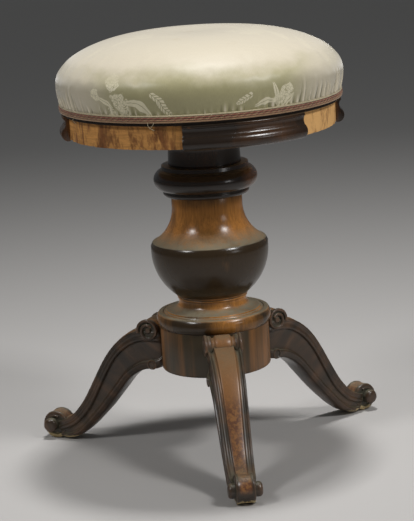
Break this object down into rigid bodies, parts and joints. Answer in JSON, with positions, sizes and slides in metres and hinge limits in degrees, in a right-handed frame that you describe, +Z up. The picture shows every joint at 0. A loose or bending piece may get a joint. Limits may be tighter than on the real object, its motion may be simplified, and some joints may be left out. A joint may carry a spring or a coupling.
{
  "type": "revolving piano stool",
  "caption": "Round upholstered stool on a turned column with scrolled legs; the seat turns on an iron screw and rises as it turns.",
  "frame": {"origin": "on the floor, on the axis of the column and its lifting screw", "axes": "+Z up the screw; the front leg points close to -Y, 4.2 degrees towards +X, and the other two stand 120 degrees either side of it"},
  "size_m": [0.432, 0.4175, 0.522],
  "materials": {
    "silk": "satin damask, lightly wrinkled",
    "horsehair": "curled hair under linen",
    "gimp": "woven braid",
    "dark_moulding": "dark polish",
    "dark_turning": "dark polish",
    "walnut": "waxed and rubbed",
    "drum_walnut": "waxed, vertical figure",
    "leg_walnut": "waxed, dusty in the hollows",
    "raw_rail": "bare, with old glue",
    "pine": "sawn, unfinished",
    "beech": "plain",
    "iron": "oiled",
    "steel": "dull"
  },
  "bodies": {
    "base": {"column": "walnut", "column_cap": "dark_turning", "column_nut": "iron", "nut_screws": "steel", "drum": "drum_walnut", "tenon_wedge": "beech", "leg_front": "leg_walnut", "leg_right": "leg_walnut", "leg_left": "leg_walnut", "leg_dowels": "beech"},
    "stop": {"stop_washer": "iron"},
    "seat": {"spindle": "iron", "end_stud": "iron", "end_nut": "iron", "lock_pin": "steel", "spindle_plate": "iron", "plate_screws": "steel", "seat_boss": "dark_turning", "boss_screws": "steel", "seat_board": "pine", "seat_rail": "raw_rail", "rail_screws": "steel", "moulding_front": "dark_moulding", "moulding_right_back": "dark_moulding", "moulding_left_back": "dark_moulding", "stuffing": "horsehair", "seat_cover": "silk", "cover_tacks": "steel", "gimp_braid": "gimp"}
  },
  "joints": [
    {"name": "seat_rise", "type": "slide", "parent": "base", "child": "stop", "axis": [0, 0, 1], "range_m": [0, 0.112]},
    {"name": "seat_turn", "type": "hinge", "parent": "stop", "child": "seat", "pos_m": [0, 0, 0.361], "axis": [0, 0, 1], "range_deg": [0, 5040]}
  ],
  "couplings": [
    {"joint": "seat_rise", "follows": "seat_turn", "m_per_rad": 0.0012732}
  ]
}
